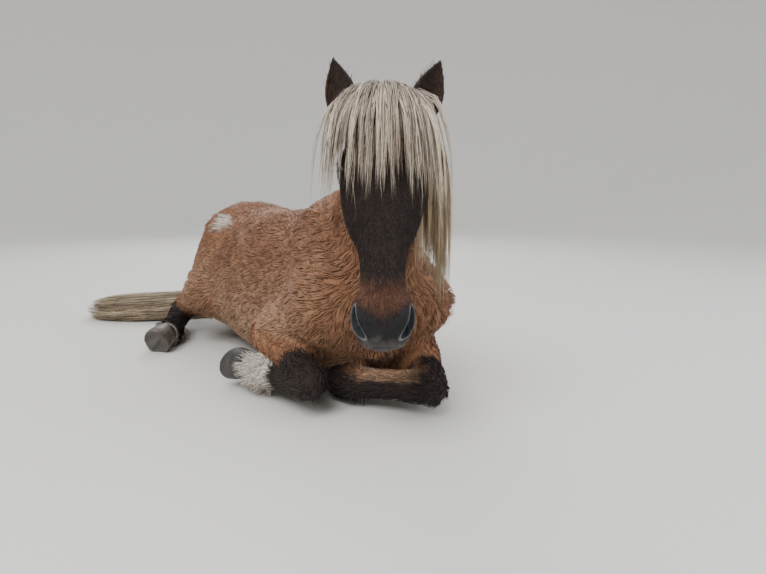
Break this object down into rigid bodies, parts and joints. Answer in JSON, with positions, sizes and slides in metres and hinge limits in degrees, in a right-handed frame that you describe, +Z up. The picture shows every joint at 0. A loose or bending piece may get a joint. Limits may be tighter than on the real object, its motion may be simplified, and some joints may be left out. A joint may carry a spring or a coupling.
{
  "type": "resting icelandic horse model",
  "caption": "Life-size model of an Icelandic horse lying on its breastbone with folded legs, head hanging upright, flaxen forelock and mane, tail swept along the floor.",
  "frame": {"origin": "on the floor under the middle of the belly, on the flat that the belly rests on", "axes": "+Z up, -Y towards the head and the viewer, +Y towards the tail, +X towards the horse's own left side"},
  "size_m": [1.1683, 2.1822, 0.9108],
  "materials": {
    "winter_coat": "long soft orange-tan winter coat",
    "dark_coat": "short black-brown coat",
    "flaxen_hair": "long flaxen hair with grey-brown streaks",
    "hoof": "dark grey horn, dull",
    "eye": "wet dark brown"
  },
  "bodies": {
    "root": {"torso": "winter_coat", "hindquarters": "winter_coat", "neck": "winter_coat", "head": "dark_coat", "forelock": "flaxen_hair", "mane": "flaxen_hair", "tail_dock": "flaxen_hair", "tail": "flaxen_hair", "ear_right": "dark_coat", "eye_right": "eye", "forearm_right": "winter_coat", "fore_cannon_right": "dark_coat", "fore_hoof_right": "hoof", "gaskin_right": "winter_coat", "hind_cannon_right": "dark_coat", "hind_hoof_right": "hoof", "ear_left": "dark_coat", "eye_left": "eye", "forearm_left": "winter_coat", "fore_cannon_left": "dark_coat", "fore_hoof_left": "hoof", "gaskin_left": "winter_coat", "hind_cannon_left": "dark_coat", "hind_hoof_left": "hoof"}
  },
  "joints": []
}
